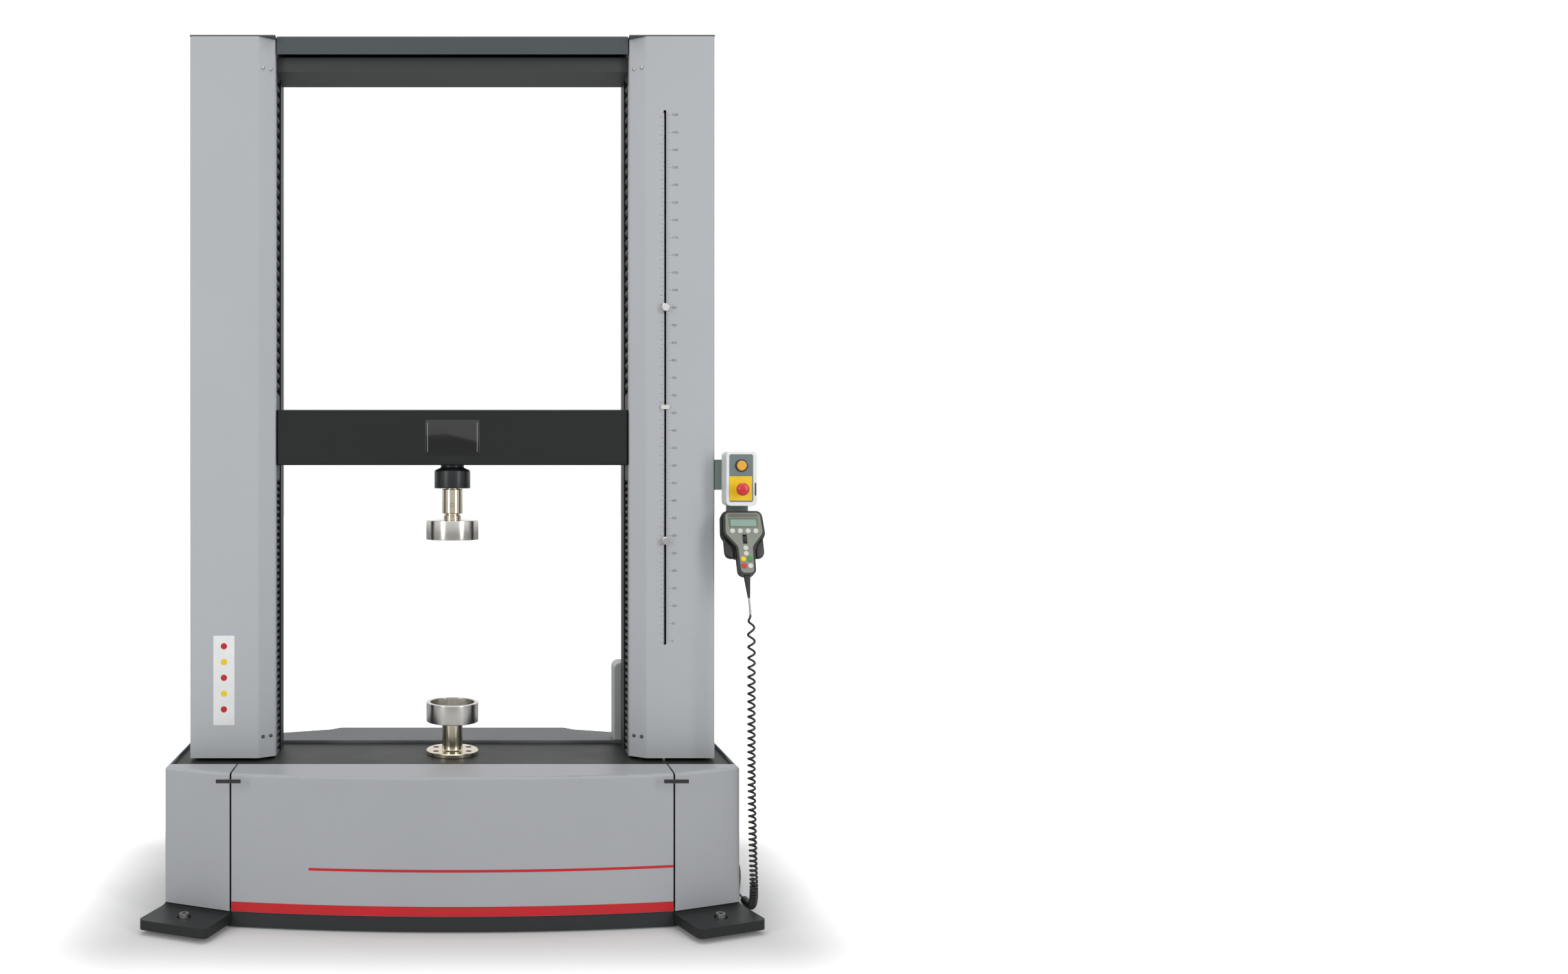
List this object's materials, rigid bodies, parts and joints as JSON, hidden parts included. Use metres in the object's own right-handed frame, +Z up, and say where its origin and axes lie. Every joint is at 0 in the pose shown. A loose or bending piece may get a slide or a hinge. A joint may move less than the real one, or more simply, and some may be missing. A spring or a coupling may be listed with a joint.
{
  "type": "universal testing machine",
  "caption": "Floor-standing two-column testing machine: motor-driven crosshead on ball screws, load cell, compression platens, travel stops and a corded handset.",
  "frame": {"origin": "on the floor, midway between the four floor anchors and under the loading axis", "axes": "+X to the operator's right, +Y to the rear, +Z up along the loading axis"},
  "size_m": [1.707, 0.7972, 2.485],
  "materials": {
    "cover_paint": "satin light grey powder coat, fine orange peel",
    "dark_paint": "satin dark grey powder coat",
    "table_paint": "textured black paint",
    "black_steel": "matt black paint",
    "frame_paint": "grey primer on welded steel",
    "polished_steel": "turned and polished steel",
    "chrome": "hard chrome, ground",
    "pulley_alloy": "turned aluminium",
    "belt_rubber": "toothed rubber",
    "screen_black": "coated pleated cloth",
    "black_plastic": "fine grained moulding",
    "grey_green": "satin grey-green",
    "pale_plastic": "moulded",
    "face_plastic": "moulded grey",
    "red_plastic": "glossy",
    "yellow_plastic": "glossy",
    "amber_plastic": "translucent lens",
    "green_plastic": "glossy",
    "white_plastic": "glossy",
    "cord_rubber": "satin cord sheath"
  },
  "bodies": {
    "frame": {"base_frame": "frame_paint", "table_plate": "table_paint", "front_cover": "cover_paint", "rear_cover": "cover_paint", "left_side_cover": "cover_paint", "right_side_cover": "cover_paint", "rear_top_panel": "dark_paint", "floor_feet": "black_steel", "levelling_screws": "chrome", "left_column_cover": "cover_paint", "right_column_cover": "cover_paint", "rear_columns": "black_steel", "guide_columns": "chrome", "limit_rod": "polished_steel", "top_beam": "black_steel", "top_cap": "dark_paint", "screw_bearings": "black_steel", "drive_motor": "black_steel", "drive_belt": "belt_rubber", "lower_platen": "polished_steel", "base_adapter": "polished_steel", "column_bellows": "screen_black", "estop_bracket": "grey_green", "estop_box": "black_plastic", "estop_face": "pale_plastic", "handset_holder": "black_plastic", "controller_housing": "pale_plastic", "cord_socket": "black_plastic", "cord_plug": "black_plastic", "cord_curl": "cord_rubber", "cord_leads": "cord_rubber"},
    "crosshead": {"crosshead_beam": "black_steel", "guide_bushings": "black_steel", "ball_nuts": "polished_steel", "travel_pointer": "white_plastic", "load_cell": "black_steel", "upper_adapter": "polished_steel", "upper_platen": "polished_steel"},
    "left_screw": {"left_ball_screw": "polished_steel"},
    "right_screw": {"right_ball_screw": "polished_steel"},
    "motor_rotor": {"motor_pulley": "pulley_alloy"},
    "upper_limit": {"upper_stop": "chrome"},
    "lower_limit": {"lower_stop": "chrome"},
    "estop_plunger": {"estop_stem": "yellow_plastic"},
    "estop_cap": {"estop_head": "red_plastic"},
    "power_switch": {"power_button": "amber_plastic"},
    "handset": {"handset_front_shell": "face_plastic", "handset_back_shell": "black_plastic", "cord_boot": "black_plastic"},
    "wheel": {"thumbwheel": "black_plastic"},
    "soft_key_1": {"soft_key_1": "pale_plastic"},
    "soft_key_2": {"soft_key_2": "pale_plastic"},
    "soft_key_3": {"soft_key_3": "pale_plastic"},
    "soft_key_4": {"soft_key_4": "pale_plastic"},
    "jog_up_key": {"jog_up_key": "pale_plastic"},
    "jog_down_key": {"jog_down_key": "pale_plastic"},
    "return_key": {"return_key": "yellow_plastic"},
    "start_key": {"start_key": "green_plastic"},
    "stop_key": {"stop_key": "red_plastic"},
    "zero_key": {"zero_key": "white_plastic"}
  },
  "joints": [
    {"name": "crosshead_slide", "type": "slide", "parent": "frame", "child": "crosshead", "axis": [0, 0, 1], "range_m": [-0.36, 0.26], "deforming": ["column_bellows"]},
    {"name": "left_screw_turn", "type": "hinge", "parent": "frame", "child": "left_screw", "pos_m": [-0.66, -0.004, 0], "axis": [0, 0, 1], "continuous": true},
    {"name": "right_screw_turn", "type": "hinge", "parent": "frame", "child": "right_screw", "pos_m": [0.66, -0.004, 0], "axis": [0, 0, 1], "continuous": true},
    {"name": "motor_turn", "type": "hinge", "parent": "frame", "child": "motor_rotor", "pos_m": [0, 0.04, 0], "axis": [0, 0, 1], "continuous": true},
    {"name": "upper_stop_slide", "type": "slide", "parent": "frame", "child": "upper_limit", "axis": [0, 0, 1], "range_m": [0, 0.4]},
    {"name": "lower_stop_slide", "type": "slide", "parent": "frame", "child": "lower_limit", "axis": [0, 0, 1], "range_m": [-0.24, 0]},
    {"name": "estop_press", "type": "slide", "parent": "frame", "child": "estop_plunger", "axis": [0, 1, 0], "range_m": [0, 0.006]},
    {"name": "estop_twist", "type": "hinge", "parent": "estop_plunger", "child": "estop_cap", "pos_m": [0.8048, -0.19, 1.184], "axis": [0, 1, 0], "range_deg": [0, 45], "stiffness_Nm_per_rad": 0.03, "springref_deg": -5.73},
    {"name": "power_press", "type": "slide", "parent": "frame", "child": "power_switch", "axis": [0, 1, 0], "range_m": [0, 0.004], "stiffness_N_per_m": 300, "springref_m": -0.0005},
    {"name": "handset_lift", "type": "slide", "parent": "frame", "child": "handset", "axis": [0, -0.9272, 0.3746], "range_m": [0, 0.15], "deforming": ["cord_curl", "cord_leads"]},
    {"name": "wheel_turn", "type": "hinge", "parent": "handset", "child": "wheel", "pos_m": [0.8126, -0.17666, 1.04163], "axis": [1, 0, 0], "continuous": true},
    {"name": "soft_key_1_press", "type": "slide", "parent": "handset", "child": "soft_key_1", "axis": [0, 0.9272, -0.3746], "range_m": [0, 0.0015], "stiffness_N_per_m": 300, "springref_m": -0.0005},
    {"name": "soft_key_2_press", "type": "slide", "parent": "handset", "child": "soft_key_2", "axis": [0, 0.9272, -0.3746], "range_m": [0, 0.0015], "stiffness_N_per_m": 300, "springref_m": -0.0005},
    {"name": "soft_key_3_press", "type": "slide", "parent": "handset", "child": "soft_key_3", "axis": [0, 0.9272, -0.3746], "range_m": [0, 0.0015], "stiffness_N_per_m": 300, "springref_m": -0.0005},
    {"name": "soft_key_4_press", "type": "slide", "parent": "handset", "child": "soft_key_4", "axis": [0, 0.9272, -0.3746], "range_m": [0, 0.0015], "stiffness_N_per_m": 300, "springref_m": -0.0005},
    {"name": "jog_up_key_press", "type": "slide", "parent": "handset", "child": "jog_up_key", "axis": [0, 0.9272, -0.3746], "range_m": [0, 0.0015], "stiffness_N_per_m": 300, "springref_m": -0.0005},
    {"name": "jog_down_key_press", "type": "slide", "parent": "handset", "child": "jog_down_key", "axis": [0, 0.9272, -0.3746], "range_m": [0, 0.0015], "stiffness_N_per_m": 300, "springref_m": -0.0005},
    {"name": "return_key_press", "type": "slide", "parent": "handset", "child": "return_key", "axis": [0, 0.9272, -0.3746], "range_m": [0, 0.0015], "stiffness_N_per_m": 300, "springref_m": -0.0005},
    {"name": "start_key_press", "type": "slide", "parent": "handset", "child": "start_key", "axis": [0, 0.9272, -0.3746], "range_m": [0, 0.0015], "stiffness_N_per_m": 300, "springref_m": -0.0005},
    {"name": "stop_key_press", "type": "slide", "parent": "handset", "child": "stop_key", "axis": [0, 0.9272, -0.3746], "range_m": [0, 0.0015], "stiffness_N_per_m": 300, "springref_m": -0.0005},
    {"name": "zero_key_press", "type": "slide", "parent": "handset", "child": "zero_key", "axis": [0, 0.9272, -0.3746], "range_m": [0, 0.0015], "stiffness_N_per_m": 300, "springref_m": -0.0005}
  ],
  "couplings": [
    {"joint": "left_screw_turn", "follows": "crosshead_slide", "rad_per_m": 314.16},
    {"joint": "right_screw_turn", "follows": "crosshead_slide", "rad_per_m": 314.16},
    {"joint": "motor_turn", "follows": "crosshead_slide", "rad_per_m": 314.16}
  ]
}
